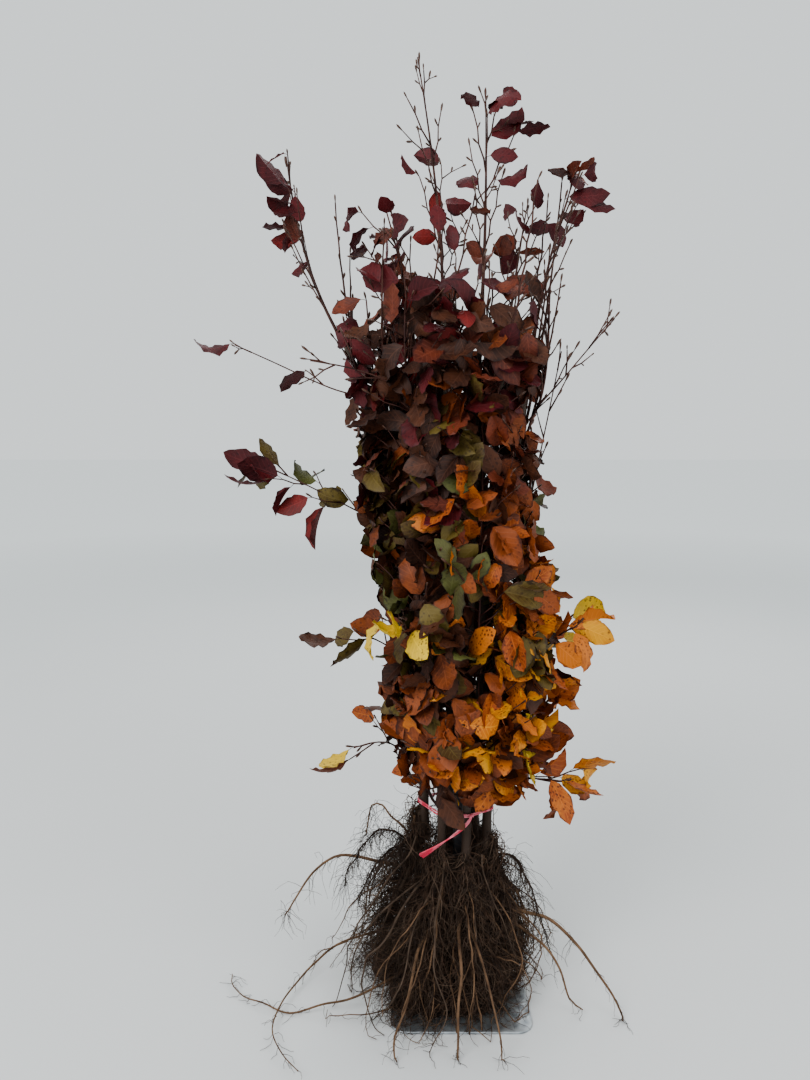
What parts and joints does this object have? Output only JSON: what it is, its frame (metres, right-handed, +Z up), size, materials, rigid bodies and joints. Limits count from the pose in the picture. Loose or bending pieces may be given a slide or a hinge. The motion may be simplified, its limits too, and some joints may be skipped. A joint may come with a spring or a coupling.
{
  "type": "bare-root copper beech clump on a stand",
  "caption": "Bundle of slim upright beech stems with rising leafy side shoots, tied with twine above a fibrous root mass, on a flat rounded plate with a post",
  "frame": {"origin": "centre of the flat underside of the stand's plate, on the ground", "axes": "+Z up along the stems, -Y the side that faces the viewer, +X to the viewer's right"},
  "size_m": [0.6824, 0.4882, 1.5402],
  "materials": {
    "bark": "smooth young beech bark, grey-brown, with fine pale pores",
    "root_bark": "matt brown fibrous roots, paler on the long ones",
    "leaf_gold": "autumn leaves, golden yellow to orange",
    "leaf_rust": "autumn leaves, rust and orange-brown",
    "leaf_olive": "leaves turning, olive green to brown",
    "leaf_copper": "dark copper leaves",
    "leaf_purple": "dark purple-red young leaves with paler backs",
    "twine": "pink-red flat twine, slightly glossy",
    "plate_steel": "galvanised steel, scuffed, bright at the edge",
    "post_paint": "near-black paint, satin"
  },
  "bodies": {
    "root": {"stand_plate": "plate_steel", "stand_post": "post_paint", "twine": "twine", "stem_left": "bark", "stem_front_left": "bark", "stem_front_right": "bark", "stem_right": "bark", "stem_rear_right": "bark", "stem_rear_left": "bark", "roots_left": "root_bark", "roots_front_left": "root_bark", "roots_front_right": "root_bark", "roots_right": "root_bark", "roots_rear_right": "root_bark", "roots_rear_left": "root_bark", "leader_left": "leaf_purple", "leader_front_left": "leaf_purple", "leader_front_right": "leaf_purple", "leader_right": "leaf_purple", "leader_rear_right": "leaf_purple", "leader_rear_left": "leaf_purple", "foliage_low_left": "leaf_rust", "foliage_low_front_left": "leaf_rust", "foliage_low_front_right": "leaf_gold", "foliage_low_right": "leaf_gold", "foliage_low_rear_right": "leaf_gold", "foliage_low_rear_left": "leaf_rust", "foliage_middle_left": "leaf_olive", "foliage_middle_front_left": "leaf_olive", "foliage_middle_front_right": "leaf_rust", "foliage_middle_right": "leaf_gold", "foliage_middle_rear_right": "leaf_rust", "foliage_middle_rear_left": "leaf_olive", "foliage_high_left": "leaf_olive", "foliage_high_front_left": "leaf_copper", "foliage_high_front_right": "leaf_copper", "foliage_high_right": "leaf_rust", "foliage_high_rear_right": "leaf_rust", "foliage_high_rear_left": "leaf_copper", "foliage_upper_left": "leaf_copper", "foliage_upper_front_left": "leaf_copper", "foliage_upper_front_right": "leaf_copper", "foliage_upper_right": "leaf_copper", "foliage_upper_rear_right": "leaf_copper", "foliage_upper_rear_left": "leaf_purple"}
  },
  "joints": []
}
